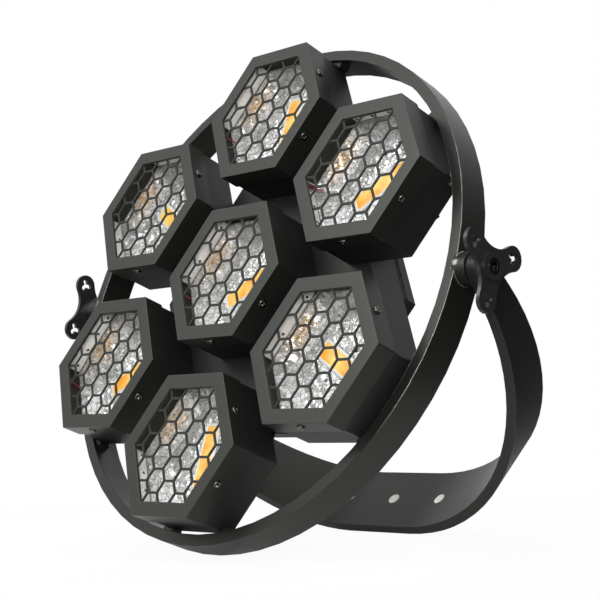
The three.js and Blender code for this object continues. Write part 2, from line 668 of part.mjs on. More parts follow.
// Knob: a lobed plate held off the yoke by its hub, which is bored for the bolt and its head
function knobBody() {
  const plateSeat = KNOB_SEAT + KNOB_STANDOFF;
  const plate = sideSolid(knobOutline(), plateSeat, plateSeat + KNOB_PLATE, KNOB_STEPS);
  const face = KNOB_SEAT + KNOB_HUB;
  let knob = plate.add(rod(AXIS_X, KNOB_HUB_R, KNOB_SEAT, face, ROUND_FACETS));
  knob = knob.subtract(rod(AXIS_X, BOLT_R + BOLT_FIT, KNOB_SEAT - OVERRUN, face, ROUND_FACETS));
  const headRoom = face - BOLT_HEAD - SEAT_GAP;
  return knob.subtract(rod(AXIS_X, BOLT_HEAD_R + BOLT_FIT, headRoom, face + OVERRUN, ROUND_FACETS));
}

// Pivot bolt: shank through the yoke arm into the boss, and a head with a six-sided socket
function boltBody() {
  const face = KNOB_SEAT + KNOB_HUB;
  const shankEnd = HOOP_INNER_R + HOOP_SKIN + SEAT_GAP;
  const shank = rod(AXIS_X, BOLT_R, shankEnd, face - BOLT_HEAD / 2, ROUND_FACETS);
  const head = rod(AXIS_X, BOLT_HEAD_R, face - BOLT_HEAD, face, ROUND_FACETS);
  const socket = sideSolid(hexagonShape(BOLT_SOCKET_ACROSS), face - BOLT_SOCKET_DEPTH, face + OVERRUN);
  return shank.add(head).subtract(socket);
}

// Finishes
const GRAPHITE_PAINT = { color: 0x50524f, roughness: 0.55, metalness: 0.3 };
const BLACK_PAINT = { color: 0x1e1f1e, roughness: 0.6, metalness: 0.3 };
const BRIGHT_ALUMINIUM = { color: 0xd8d9d6, roughness: 0.25, metalness: 1 };
const PLAIN_ALUMINIUM = { color: 0x9a9c9c, roughness: 0.4, metalness: 0.9 };
const PHOSPHOR = { color: 0xffd45a, roughness: 0.5, metalness: 0 };
const BLACK_PLASTIC = { color: 0x262826, roughness: 0.5, metalness: 0 };
const DARK_STEEL = { color: 0x3a3b3a, roughness: 0.35, metalness: 0.9 };
const SUPPLY_METAL = { color: 0xa8aaa8, roughness: 0.4, metalness: 0.8 };
const BOARD_GREEN = { color: 0x1f5a3a, roughness: 0.5, metalness: 0 };
const DISPLAY_BLUE = { color: 0x1b3552, roughness: 0.15, metalness: 0 };

function piece(name, geometry, finish) {
  const mesh = new THREE.Mesh(geometry, new THREE.MeshStandardMaterial(finish));
  mesh.name = name;
  return mesh;
}

// One lamp's case at its place, with its light engine turned inside it
function lamp(parts, { name, place, engineTurn }) {
  const group = new THREE.Group();
  group.position.copy(lampCentre(place));
  group.add(piece("front_cap_" + name, parts.cap, GRAPHITE_PAINT));
  group.add(piece("honeycomb_grille_" + name, parts.grille, GRAPHITE_PAINT));
  group.add(piece("lamp_can_" + name, parts.can, BLACK_PAINT));
  const engine = new THREE.Group();
  engine.rotation.y = -engineTurn;
  engine.add(piece("reflector_" + name, parts.reflector, BRIGHT_ALUMINIUM));
  engine.add(piece("led_" + name, parts.led, PHOSPHOR));
  engine.add(piece("heat_sink_" + name, parts.sink, PLAIN_ALUMINIUM));
  group.add(engine);
  return group;
}

// The electronics, display, buttons and sockets in the rear case
function controls() {
  const group = new THREE.Group();
  const supply = piece("power_supply", geometryOf(supplyBody()), SUPPLY_METAL);
  supply.position.z = SUPPLY_LIFT;
  group.add(supply);
  const board = piece("control_board", geometryOf(boardBody()), BOARD_GREEN);
  board.position.z = (CONTROL_LIFT + BUTTON_LIFT) / 2;
  group.add(board);
  const display = piece("display", geometryOf(displayBody()), DISPLAY_BLUE);
  display.position.z = CONTROL_LIFT;
  group.add(display);
  const button = geometryOf(buttonBody());
  buttonPlaces().forEach((x, i) => {
    const mesh = piece("menu_button_" + (i + 1), button, BLACK_PLASTIC);
    mesh.position.set(x, 0, BUTTON_LIFT);
    group.add(mesh);
  });
  const sockets = [
    ["signal_in_socket", -1],
    ["power_inlet", 0],
    ["signal_out_socket", 1],
  ];
  const socket = geometryOf(socketBody());
  sockets.forEach(([name, step]) => {
    const mesh = piece(name, socket, BLACK_PLASTIC);
    mesh.position.set(step * SOCKET_SPACING, 0, -SOCKET_DROP);
    group.add(mesh);
  });
  return group;
}

// The head: lamps, hoop and rear case, drawn about the middle lamp's front
function head() {
  const parts = {
    cap: geometryOf(capBody()),
    grille: geometryOf(grilleBody()),
    can: geometryOf(canBody()),
    reflector: geometryOf(reflectorBody()),
    led: geometryOf(ledBody()),
    sink: geometryOf(sinkBody()),
  };
  const group = new THREE.Group();
  for (const place of LAMPS) group.add(lamp(parts, place));
  group.add(piece("hoop", geometryOf(hoopBody()), GRAPHITE_PAINT));
  group.add(piece("rear_frame", geometryOf(frameBody()), BLACK_PAINT));
  group.add(piece("rear_cover", geometryOf(coverBody()), BLACK_PAINT));
  group.add(controls());
  return group;
}

// A knob and its bolt on each side, on the pivot axis
function pivots() {
  const knob = geometryOf(knobBody());
  const bolt = geometryOf(boltBody());
  const group = new THREE.Group();
  const sides = [
    ["right", 0, RIGHT_KNOB_TURN],
    ["left", Math.PI, LEFT_KNOB_TURN],
  ];
  for (const [side, facing, turn] of sides) {
    const pair = new THREE.Group();
    pair.rotation.z = facing;
    const turning = new THREE.Group();
    turning.rotation.x = turn;
    turning.add(piece("knob_" + side, knob, BLACK_PLASTIC));
    turning.add(piece("pivot_bolt_" + side, bolt, DARK_STEEL));
    pair.add(turning);
    group.add(pair);
  }
  return group;
}

// Lean of the head at which the hoop's back edge and the yoke's front edge stand on one floor
function standingLean() {
  const footR = HOOP_OUTER_R * Math.cos(Math.PI / HOOP_FACETS);
  const hoopSetback = HOOP_BACK_DEPTH - PIVOT_DEPTH;
  const drop = YOKE_DROP + YOKE_BAR;
  const rise = footR - YOKE_BASE_HALF * Math.sin(YOKE_SWING) - drop * Math.cos(YOKE_SWING);
  const run = drop * Math.sin(YOKE_SWING) - YOKE_BASE_HALF * Math.cos(YOKE_SWING) - hoopSetback;
  return Math.atan2(rise, run);
}

// The standing light: head and yoke about the pivot axis, then moved so the floor is at height zero
function stageLight() {
  const light = new THREE.Group();
  const lean = standingLean();
  const leaning = new THREE.Group();
  leaning.rotation.x = -lean;
  const headGroup = head();
  headGroup.position.y = -PIVOT_DEPTH;
  leaning.add(headGroup);
  leaning.add(pivots());
  light.add(leaning);
  const yoke = piece("yoke", geometryOf(yokeBody()), GRAPHITE_PAINT);
  yoke.rotation.x = YOKE_SWING - lean;
  light.add(yoke);
  const box = new THREE.Box3().setFromObject(light, true);
  for (const child of light.children) {
    child.position.y -= (box.min.y + box.max.y) / 2;
    child.position.z -= box.min.z;
  }
  return light;
}

export default stageLight();
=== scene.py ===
import math
import bmesh
import bpy
import numpy as np
from mathutils import Matrix, Vector


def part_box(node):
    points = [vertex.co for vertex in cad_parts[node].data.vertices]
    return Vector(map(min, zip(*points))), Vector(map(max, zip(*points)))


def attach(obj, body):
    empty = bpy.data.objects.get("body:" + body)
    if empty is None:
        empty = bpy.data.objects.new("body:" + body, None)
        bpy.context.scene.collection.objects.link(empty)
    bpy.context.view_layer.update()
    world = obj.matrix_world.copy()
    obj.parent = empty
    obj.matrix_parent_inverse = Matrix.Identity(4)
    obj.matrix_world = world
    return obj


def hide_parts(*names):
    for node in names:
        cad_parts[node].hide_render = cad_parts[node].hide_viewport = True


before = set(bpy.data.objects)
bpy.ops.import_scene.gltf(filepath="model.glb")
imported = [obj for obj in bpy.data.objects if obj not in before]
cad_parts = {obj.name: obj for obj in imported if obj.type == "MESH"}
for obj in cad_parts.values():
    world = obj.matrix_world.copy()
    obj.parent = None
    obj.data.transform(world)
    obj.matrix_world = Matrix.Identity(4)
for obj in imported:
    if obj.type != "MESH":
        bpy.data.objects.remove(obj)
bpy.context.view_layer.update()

# Head: the seven lamps and their hoop lean back together between the yoke's arms. The line from the
# bottom lamp's middle to the top one's is the head's own up direction, so what is set in it follows the
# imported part's lean.
LAMPS = ["centre", "top", "upper_right", "lower_right", "bottom", "lower_left", "upper_left"]
CAP_DEPTH = 0.024


def box_middle(node):
    """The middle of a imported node's box, in the row frame."""
    low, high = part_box(node)
    return np.array((low + high) / 2)


head_right = np.array([1.0, 0.0, 0.0])
head_up = box_middle("front_cap_top") - box_middle("front_cap_bottom")
head_up /= np.linalg.norm(head_up)
head_back = np.cross(head_up, head_right)
head_axes = np.array([head_right, head_back, head_up])
head_origin = box_middle("front_cap_centre") - head_back * CAP_DEPTH / 2


def on_head(points):
    """Points given as (right, depth behind the lamps' fronts, up) from the middle lamp, in the row frame."""
    return np.asarray(points, float) @ head_axes + head_origin


# Camera: a 600 x 600 view from low on the right, with its place and turn given in the head's own axes.
# The focal length is for a 36 mm wide sensor.
CAMERA_PLACE = (1.1490, -0.8835, -0.4799)
CAMERA_RIGHT = (0.69209, 0.68657, 0.22279)
CAMERA_DOWN = (-0.07269, 0.37337, -0.92483)
camera_data = bpy.data.cameras.new("camera")
camera_data.sensor_width = 36
camera_data.lens = 87.81
camera_data.clip_start = 0.05
camera = bpy.data.objects.new("camera", camera_data)
bpy.context.scene.collection.objects.link(camera)
camera_x = np.array(CAMERA_RIGHT) @ head_axes
camera_y = -np.array(CAMERA_DOWN) @ head_axes
camera_z = np.cross(camera_x, camera_y)
camera_turn = Matrix(np.array([camera_x, camera_y, camera_z]).T.tolist())
camera.matrix_world = Matrix.Translation(on_head(CAMERA_PLACE).tolist()) @ camera_turn.to_4x4()
bpy.context.scene.camera = camera


# Floor and light: a plain pale floor inside a white tent. The tent is dark behind on the right, which the
# black paint mirrors on the sides that face there. The floor keeps its shadow and is lifted to the
# background's white only for the camera and for what is seen through clear material.
FLOOR_HALF = 40.0
PAPER_MIDDLE = (-0.15, -0.10, 0.0)
PAPER_NEAR, PAPER_FAR = 0.40, 0.75
SHOWN_NEAR, SHOWN_FAR = 0.94, 1.0
MIRRORED_NEAR, MIRRORED_FAR = 0.24, 0.0
TENT_ON_MATT = 0.75
DARK_SIDE = (0.77, 0.63, -0.04)
DARK_BEGINS, DARK_FULL, DARK_LEVEL = 0.28, 0.95, 0.04
AIM = (0, 0, 0.27)


def linear(hex_colour, level=1.0):
    """An sRGB hex colour as the linear values that shaders take, made lighter or darker by a level."""
    parts = [int(hex_colour[i:i + 2], 16) / 255 for i in (1, 3, 5)]
    parts = [p / 12.92 if p <= 0.04045 else ((p + 0.055) / 1.055) ** 2.4 for p in parts]
    return [min(1.0, p * level) for p in parts] + [1.0]


def add_node(tree, kind, inputs=(), **settings):
    """One shader node. Each input is a value, or a pair of another node and the output to link in."""
    made = tree.nodes.new("ShaderNode" + kind)
    for name, value in settings.items():
        setattr(made, name, value)
    for socket, value in dict(inputs).items():
        if isinstance(value, tuple) and isinstance(value[0], bpy.types.Node):
            tree.links.new(value[0].outputs[value[1]], made.inputs[socket])
        else:
            made.inputs[socket].default_value = value
    return made


def noise(tree, place, scale, detail=2.0):
    """Cloudy noise with that many blotches to the metre."""
    return add_node(tree, "TexNoise", {"Vector": place, "Scale": scale, "Detail": detail}), 0


def spread(tree, source, start, end, low, high, curve="LINEAR"):
    """An output taken from the range start to end into the range low to high, and held within it."""
    ends = {0: source, 1: start, 2: end, 3: low, 4: high}
    return add_node(tree, "MapRange", ends, interpolation_type=curve), 0


def blend(tree, share, first, second):
    """A mix of two colours: the first where the share is 0, the second where it is 1."""
    return add_node(tree, "Mix", {0: share, 6: first, 7: second}, data_type="RGBA"), 2


def step(tree, operation, *numbers):
    """One arithmetic step on numbers or other nodes' outputs."""
    return add_node(tree, "Math", dict(enumerate(numbers)), operation=operation), 0


def vector_step(tree, operation, *vectors):
    """One arithmetic step on vectors. Its first output is a vector and its second a number."""
    return add_node(tree, "VectorMath", dict(enumerate(vectors)), operation=operation)


def new_material(name):
    """A new material, its empty tree of nodes, and the pair that gives a place on the piece in metres."""
    made = bpy.data.materials.new(name)
    made.use_nodes = True
    made.node_tree.nodes.clear()
    return made, made.node_tree, (add_node(made.node_tree, "TexCoord"), "Object")


floor_mesh = bpy.data.meshes.new("floor")
floor_corners = [(x * FLOOR_HALF, y * FLOOR_HALF, 0) for x, y in ((-1, -1), (1, -1), (1, 1), (-1, 1))]
floor_mesh.from_pydata(floor_corners, [], [(0, 1, 2, 3)])
floor = bpy.data.objects.new("floor", floor_mesh)
bpy.context.scene.collection.objects.link(floor)

# White paper under the object that turns grey further out, which the undersides mirror as a darker floor.
floor_paper, tree, place = new_material("white_paper_floor")
away = vector_step(tree, "DISTANCE", place, PAPER_MIDDLE)
far = spread(tree, (away, "Value"), PAPER_NEAR, PAPER_FAR, 0.0, 1.0, "SMOOTHSTEP")
tone = blend(tree, far, linear("#e0e0de"), linear("#4a4a49"))
paper = add_node(tree, "BsdfDiffuse", {"Color": tone})
white = add_node(tree, "Emission", {"Color": (1, 1, 1, 1), "Strength": 1.0})
rays = add_node(tree, "LightPath")
lift = spread(tree, far, 0.0, 1.0, SHOWN_NEAR, SHOWN_FAR)
shown = step(tree, "MULTIPLY", (rays, "Is Camera Ray"), lift)
mirrored = spread(tree, far, 0.0, 1.0, MIRRORED_NEAR, MIRRORED_FAR)
shiny = step(tree, "MULTIPLY", (rays, "Is Glossy Ray"), mirrored)
through = step(tree, "MAXIMUM", shiny, (rays, "Is Transmission Ray"))
lifted = step(tree, "MAXIMUM", shown, through)
mixed = add_node(tree, "MixShader", {0: lifted, 1: (paper, 0), 2: (white, 0)})
add_node(tree, "OutputMaterial", {"Surface": (mixed, 0)})
floor_mesh.materials.append(floor_paper)

world = bpy.data.worlds.new("studio")
bpy.context.scene.world = world
world.use_nodes = True
tree = world.node_tree
tree.nodes.clear()
rays = add_node(tree, "LightPath")
direction = add_node(tree, "TexCoord")
towards_dark = vector_step(tree, "DOT_PRODUCT", (direction, "Generated"), DARK_SIDE)
tent = spread(tree, (towards_dark, "Value"), DARK_BEGINS, DARK_FULL, 1.0, DARK_LEVEL, "SMOOTHSTEP")
on_matt = spread(tree, (rays, "Is Diffuse Ray"), 0.0, 1.0, 1.0, TENT_ON_MATT)
seen = step(tree, "MAXIMUM", (rays, "Is Camera Ray"), (rays, "Is Transmission Ray"))
strength = step(tree, "MAXIMUM", seen, step(tree, "MULTIPLY", tent, on_matt))
surround = add_node(tree, "Background", {"Color": (1, 1, 1, 1), "Strength": strength})
add_node(tree, "OutputWorld", {"Surface": (surround, 0)})


def soft_lamp(name, place, size, watts):
    """A square area lamp at a place in the row frame, turned to the middle of the object."""
    data = bpy.data.lights.new(name, "AREA")
    data.energy = watts
    data.size = size
    lamp = bpy.data.objects.new(name, data)
    bpy.context.scene.collection.objects.link(lamp)
    lamp.location = place
    lamp.rotation_euler = (Vector(AIM) - Vector(place)).to_track_quat("-Z", "Y").to_euler()
    return lamp


# The key lamp stands up on the left in front, the fill low on the right in front. The one behind lights
# the back and is kept out of reflections, where it would lie as a white patch on the yoke's base.
soft_lamp("key", (-0.9, -1.7, 1.9), 1.2, 25)
soft_lamp("top", (0.3, 0.2, 2.0), 1.5, 12)
soft_lamp("fill", (1.4, -1.5, 0.6), 0.8, 26)
soft_lamp("behind", (-1.2, 1.9, 1.0), 1.2, 40).visible_glossy = False
bpy.context.scene.view_settings.view_transform = "Standard"


# Lamp cases: a front cap folded from steel sheet over a folded can, both powder coated in satin black,
# with a thin punched honeycomb grille behind the cap's opening. Every fold is rounded, and a thin pale line
# along the front edges is a painted highlight; the coat's fine orange peel softens the shine.
EDGE_HIGHLIGHT_RADIUS = 0.0012
PEEL_SIZE = 0.0012
PEEL_HEIGHT = 0.0002


def surface(tree, inputs):
    """The surface's shader from its inputs, led to the material's output."""
    shader = add_node(tree, "BsdfPrincipled", inputs)
    add_node(tree, "OutputMaterial", {"Surface": (shader, 0)})


def bumps(tree, height, strength, distance):
    """Normals tilted as by bumps of that many metres where the pattern goes from 0 to 1."""
    return add_node(tree, "Bump", {"Height": height, "Strength": strength, "Distance": distance}), 0


def powder_coat(name, colour, peel, roughness, shine=0.42, edge_highlight_share=0.35, edge_highlight_colour="#8b8d88", held=None):
    """Epoxy-polyester powder coat: fine peel about 1.2 mm across, cloudy gloss, and a painted highlight: a
    paler line along folds, found where a normal rounded over 1.2 mm turns away from the face's own. Where
    held is given, it is only between those distances to the side of the middle, fading in over the length
    given last."""
    made, tree, place = new_material(name)
    cloud = noise(tree, place, 9.0, 3.0)
    tint = blend(tree, cloud, linear(colour, 0.8), linear(colour, 1.2))
    # Painted highlight: a paler colour laid along the rounded folds, where light would catch them.
    rounded = add_node(tree, "Bevel", {"Radius": EDGE_HIGHLIGHT_RADIUS}, samples=4)
    face = add_node(tree, "NewGeometry")
    same = vector_step(tree, "DOT_PRODUCT", (rounded, 0), (face, "Normal"))
    edge = spread(tree, (same, "Value"), 0.97, 0.80, 0.0, edge_highlight_share)
    painted_edge_highlight = step(tree, "MULTIPLY", edge, noise(tree, place, 160.0, 4.0))
    if held:
        near, far, fade = held
        axes = add_node(tree, "SeparateXYZ", {0: place})
        aside = step(tree, "ABSOLUTE", (axes, "X"))
        begun = spread(tree, aside, near, near + fade, 0.0, 1.0)
        ended = spread(tree, aside, far - 0.001, far, 1.0, 0.0)
        painted_edge_highlight = step(tree, "MULTIPLY", painted_edge_highlight, step(tree, "MULTIPLY", begun, ended))
    grain = noise(tree, place, 1.0 / PEEL_SIZE, 1.5)
    surface(tree, {"Base Color": blend(tree, painted_edge_highlight, tint, linear(edge_highlight_colour)),
                   "Roughness": spread(tree, cloud, 0.0, 1.0, roughness - 0.05, roughness + 0.06),
                   "Normal": bumps(tree, grain, peel, PEEL_HEIGHT),
                   "Specular IOR Level": shine, "Specular Tint": linear("#f3f6ee")})
    return made


def soften(made, edge, segments=2):
    """Rounds a piece's folds by that many metres and evens its shading."""
    if edge:
        bevel = made.modifiers.new("round", "BEVEL")
        bevel.width = edge
        bevel.segments = segments
        bevel.limit_method = "ANGLE"
        bevel.angle_limit = math.radians(28)
    made.modifiers.new("even", "WEIGHTED_NORMAL").keep_sharp = False


def finish_node(node, coat, edge=0.0, segments=2):
    """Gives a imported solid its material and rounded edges."""
    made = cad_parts[node]
    made.data.materials.clear()
    made.data.materials.append(coat)
    for face in made.data.polygons:
        face.material_index = 0
        face.use_smooth = True
    made.modifiers.new("weld", "WELD").merge_threshold = 0.00001
    soften(made, edge, segments)


# The caps are a shade paler and glossier than the cans, and the grilles' thin coat is nearly matt.
graphite = powder_coat("graphite_powder_coat", "#1a1c19", 0.3, 0.38, 0.40)
grille_coat = powder_coat("thin_black_powder_coat", "#1a1c1a", 0.2, 0.5, 0.25)
black_coat = powder_coat("black_powder_coat", "#151615", 0.3, 0.48)
for lamp in LAMPS:
    finish_node("front_cap_" + lamp, graphite, 0.0007)
    finish_node("lamp_can_" + lamp, black_coat, 0.0005)
    finish_node("honeycomb_grille_" + lamp, grille_coat, 0.0002, 1)


# Reflectors: dishes pressed from hammered bright aluminium, one in each lamp, with a slot for its LED bar.
# Six sloping facets rise from a flat floor to the case wall; the hammering breaks reflections into flakes.
# Each engine, the reflector with its bar, is screwed in at one of six turns.
ENGINE_TURN = {"centre": 0, "top": -120, "upper_right": 180, "lower_right": 120,
               "bottom": 60, "lower_left": 0, "upper_left": -60}
FLOOR_APOTHEM, FLOOR_DEPTH = 0.0495, 0.042
RIM_APOTHEM, RIM_DEPTH = 0.0712, 0.0262
SLOT_HALF_LENGTH, SLOT_HALF_WIDTH, SLOT_LIP = 0.0362, 0.01150, 0.0008
FLAKE = 0.0042
FLAKES_OVER_AREA = 4.2
FLAKE_FIELD = 2.3
FLAKE_TILT = 0.20
CREASE_HEIGHT, CREASE_WIDTH = 0.00022, 0.16
SIDE_POINTS, FLOOR_ROWS, SLOPE_ROWS = 40, 20, 16
SHEET = 0.0006
# Where the painted reflection of the gel lies on each dish: its turn, distance out, width and length.
GEL_REFLECTION_TURN = math.radians(150)
GEL_REFLECTION_OUT, GEL_REFLECTION_WIDTH, GEL_REFLECTION_LENGTH = 0.064, 0.008, 0.024


def lamp_middle(lamp):
    """The middle of a lamp's front face, as (right, depth, up) in the head's own axes."""
    return (box_middle("front_cap_" + lamp) - box_middle("front_cap_centre")) @ head_axes.T


def grid_faces(rows, columns):
    """Quads between neighbouring points of a grid whose rows are closed round."""
    i, j = np.meshgrid(np.arange(rows - 1), np.arange(columns), indexing="ij")
    here, across = i * columns, (j + 1) % columns
    return np.stack([here + j, here + across, here + columns + across, here + columns + j], -1).reshape(-1, 4)


def piece(name, grids, coats, body, closed=True):
    """One object from grids of row-frame points with closed rows, each given with the number of its coat."""
    points, faces, which, first = [], [], [], 0
    for grid, coat in grids:
        quads = grid_faces(grid.shape[0], grid.shape[1])
        points.append(grid.reshape(-1, 3))
        faces.append(quads + first)
        which.append(np.full(len(quads), coat))
        first += grid.shape[0] * grid.shape[1]
    mesh = bpy.data.meshes.new(name)
    mesh.from_pydata(np.concatenate(points), [], np.concatenate(faces))
    mesh.polygons.foreach_set("material_index", np.concatenate(which).astype(np.int32))
    for coat in coats:
        mesh.materials.append(coat)
    work = bmesh.new()
    work.from_mesh(mesh)
    bmesh.ops.remove_doubles(work, verts=work.verts, dist=1e-6)
    bmesh.ops.dissolve_degenerate(work, edges=work.edges, dist=1e-7)
    if closed:
        bmesh.ops.recalc_face_normals(work, faces=work.faces)
    for face in work.faces:
        face.smooth = True
    work.to_mesh(mesh)
    work.free()
    made = bpy.data.objects.new(name, mesh)
    bpy.context.scene.collection.objects.link(made)
    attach(made, body)
    return made


def six_sided_radius(apothem, angle):
    """Distance from the middle to a hexagon's side, whose flats face 30, 90, 150 degrees and so on."""
    return apothem / np.cos((angle % (math.pi / 3)) - math.pi / 6)


def hammered(points, rng):
    """Height of the hammering: each point belongs to its nearest mark and lies on that mark's own small tilt,
    and the borders between marks stand up as fine creases."""
    count = int(FLAKES_OVER_AREA * RIM_APOTHEM ** 2 / FLAKE ** 2)
    marks = (rng.random((count, 2)) - 0.5) * FLAKE_FIELD * RIM_APOTHEM
    tilt = rng.normal(0, FLAKE_TILT, (count, 2))
    apart = np.linalg.norm(points[:, None, :] - marks[None, :, :], axis=2)
    order = np.argpartition(apart, 1, axis=1)[:, :2]
    near = np.take_along_axis(apart, order, 1)
    first = order[np.arange(len(points)), near.argmin(1)]
    gap = np.abs(near[:, 0] - near[:, 1])
    lean = ((points - marks[first]) * tilt[first]).sum(1)
    return lean + CREASE_HEIGHT * np.exp(-(gap / (CREASE_WIDTH * FLAKE)) ** 2)


# Bright aluminium, crumpled into 5 mm flakes whose creases are darkened grey as painted shade, so every cell
# of the grille shows other greys and whites. An amber cast is painted on two slopes as a painted reflection
# of the gel.
bright_sheet, tree, place = new_material("hammered_bright_aluminium")
bend = noise(tree, place, 260.0)
bent = vector_step(tree, "MULTIPLY_ADD", (bend[0], "Color"), (0.003, 0.003, 0.003), place)
flakes = {"Vector": (bent, 0), "Scale": 1 / 0.005}
edges = add_node(tree, "TexVoronoi", flakes, feature="DISTANCE_TO_EDGE")
marks = add_node(tree, "TexVoronoi", flakes, feature="F1")
crease_and_painted_shade = spread(tree, (edges, "Distance"), 0.0, 0.055, 0.0, 1.0)
grit = noise(tree, place, 1 / 0.0016, 3.0)
height = step(tree, "MULTIPLY_ADD", grit, 0.5, crease_and_painted_shade)
tone = blend(tree, (marks, "Color"), linear("#bfc1bd"), linear("#ffffff"))
# Painted reflection: an amber tint laid on the dish's points where the gel would be mirrored.
gel_reflection_share = add_node(tree, "Attribute", attribute_name="gel_glow")
gel_reflection_patches = spread(tree, bend, 0.35, 0.65, 0.35, 1.0)
tone_with_gel_reflection = blend(tree, step(tree, "MULTIPLY", (gel_reflection_share, "Fac"), gel_reflection_patches), tone, linear("#f3c58c"))
# The darker colour along the creases is painted shade.
surface(tree, {"Base Color": blend(tree, crease_and_painted_shade, linear("#4c4e4a"), tone_with_gel_reflection),
               "Metallic": 0.45, "Roughness": 0.26, "Normal": bumps(tree, height, 0.45, 0.0004)})

side_share = np.linspace(0, 1, SIDE_POINTS, endpoint=False)
corner_turn = np.arange(6)[:, None] * math.pi / 3
side_x = (1 - side_share) * np.cos(corner_turn) + side_share * np.cos(corner_turn + math.pi / 3)
side_y = (1 - side_share) * np.sin(corner_turn) + side_share * np.sin(corner_turn + math.pi / 3)
round_angle = np.arctan2(side_y, side_x).ravel() % (2 * math.pi)
floor_share = np.linspace(0, 1, FLOOR_ROWS)[:, None]
slope_share = np.linspace(0, 1, SLOPE_ROWS + 1)[1:, None]
flat = np.ones((1, len(round_angle)))
depth = np.concatenate([flat * (FLOOR_DEPTH + SLOT_LIP), np.repeat(flat * FLOOR_DEPTH, FLOOR_ROWS, 0),
                        FLOOR_DEPTH + slope_share * (RIM_DEPTH - FLOOR_DEPTH) * flat])
floor_radius = six_sided_radius(FLOOR_APOTHEM, round_angle)
rim_radius = six_sided_radius(RIM_APOTHEM, round_angle)
for number, lamp in enumerate(LAMPS):
    rng = np.random.default_rng(40 + number)
    middle = lamp_middle(lamp)
    local = round_angle - math.radians(30 + ENGINE_TURN[lamp])
    slot_radius = np.minimum(SLOT_HALF_LENGTH / np.maximum(np.abs(np.cos(local)), 1e-6),
                             SLOT_HALF_WIDTH / np.maximum(np.abs(np.sin(local)), 1e-6))
    radius = np.concatenate([slot_radius[None], slot_radius + floor_share * (floor_radius - slot_radius),
                             floor_radius + slope_share * (rim_radius - floor_radius)])
    x, z = radius * np.cos(round_angle), radius * np.sin(round_angle)
    lift = hammered(np.stack([x.ravel(), z.ravel()], 1), rng).reshape(x.shape)
    lift[0] = 0
    lift[-1] = 0
    dish = on_head(np.stack([x, depth - lift, z], -1) + middle)
    made = piece("hammered_reflector_" + lamp, [(dish, 0)], [bright_sheet], "head", closed=False)
    facing = made.data.polygons[len(made.data.polygons) // 4].normal
    if np.dot(facing, head_back) > 0:
        made.data.flip_normals()
    corners = np.empty(3 * len(made.data.vertices))
    made.data.vertices.foreach_get("co", corners)
    local = (corners.reshape(-1, 3) - head_origin) @ head_axes.T - middle
    # Painted reflection of the gel: a share on two slopes of each dish, kept on its points for the material.
    towards = np.abs(local[:, 0] * math.cos(GEL_REFLECTION_TURN) + local[:, 2] * math.sin(GEL_REFLECTION_TURN))
    sideways = local[:, 2] * math.cos(GEL_REFLECTION_TURN) - local[:, 0] * math.sin(GEL_REFLECTION_TURN)
    gel_reflection_share = np.exp(-((towards - GEL_REFLECTION_OUT) / GEL_REFLECTION_WIDTH) ** 2 - (sideways / GEL_REFLECTION_LENGTH) ** 2)
    made.data.attributes.new("gel_glow", "FLOAT", "POINT").data.foreach_set("value", gel_reflection_share.astype(np.float32))
    wall = made.modifiers.new("sheet", "SOLIDIFY")
    wall.thickness = SHEET
    wall.offset = -1
    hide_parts("reflector_" + lamp)


# LED bars: a white-soldermasked board with a long strip of yellow phosphor gel inside a low white dam.
# Each sits in its reflector's slot on a black anodised heat sink, cut from extruded aluminium.
BOARD_FRONT = 0.0414
BOARD = (0.036, 0.01125, 0.0012), [(0.0, -0.0016), (0.0, -0.0002), (0.0002, 0.0)]
DAM = (0.0343, 0.0098, 0.0018), [(0.0, -0.0001), (0.0, 0.0004), (0.0004, 0.0007),
                                 (0.0011, 0.0007), (0.0014, 0.0004)]
STRIP = (0.0330, 0.0085, 0.0012), [(0.0, 0.0), (0.0, 0.0004), (0.0008, 0.0006), (0.003, 0.0007)]
FACING_FRONT = np.array([0, -1.0, 0])


def rounded_ring(half_length, half_width, corner, count=12):
    """Points round a rectangle whose corners are quarter circles of the given radius."""
    quarter = np.linspace(0, math.pi / 2, count)
    angle = np.concatenate([quarter + k * math.pi / 2 for k in range(4)])
    along = np.repeat([1, -1, -1, 1], count) * (half_length - corner) + corner * np.cos(angle)
    across = np.repeat([1, 1, -1, -1], count) * (half_width - corner) + corner * np.sin(angle)
    return np.stack([along, across], 1)


def slab(size, levels):
    """A closed pad from its (half length, half width, corner radius): its ring is shrunk by each level's
    inset and set at its height, and a point closes both ends. Columns are (along, across, height)."""
    half_length, half_width, corner = size
    rings = []
    for inset, height in levels:
        shrunk = rounded_ring(half_length - inset, half_width - inset, max(corner - inset, 0.0001))
        rings.append(np.column_stack([shrunk, np.full(len(shrunk), height)]))
    first, last = rings[0] * [0, 0, 1], rings[-1] * [0, 0, 1]
    return np.stack([first, *rings, last])


def set_in(points, middle, along, across, out):
    """Points given as (along, across, out) moved to a place on the head with these three directions."""
    return on_head(points @ np.array([along, across, out]) + middle)


def side_directions(degrees):
    """The direction out through a lamp's side that faces this angle, and the direction along that side."""
    turn = math.radians(degrees)
    return np.array([math.cos(turn), 0, math.sin(turn)]), np.array([-math.sin(turn), 0, math.cos(turn)])


# Solder mask is a thick white lacquer with the glass weave just showing through, so boards look satin.
solder_mask, tree, place = new_material("white_solder_mask")
cloud = noise(tree, place, 120.0, 3.0)
weave = noise(tree, place, 1 / 0.0007)
surface(tree, {"Base Color": blend(tree, cloud, linear("#eeeeea"), linear("#fcfcfa")),
               "Roughness": spread(tree, cloud, 0.0, 1.0, 0.28, 0.42),
               "Normal": bumps(tree, weave, 0.2, 0.0001)})

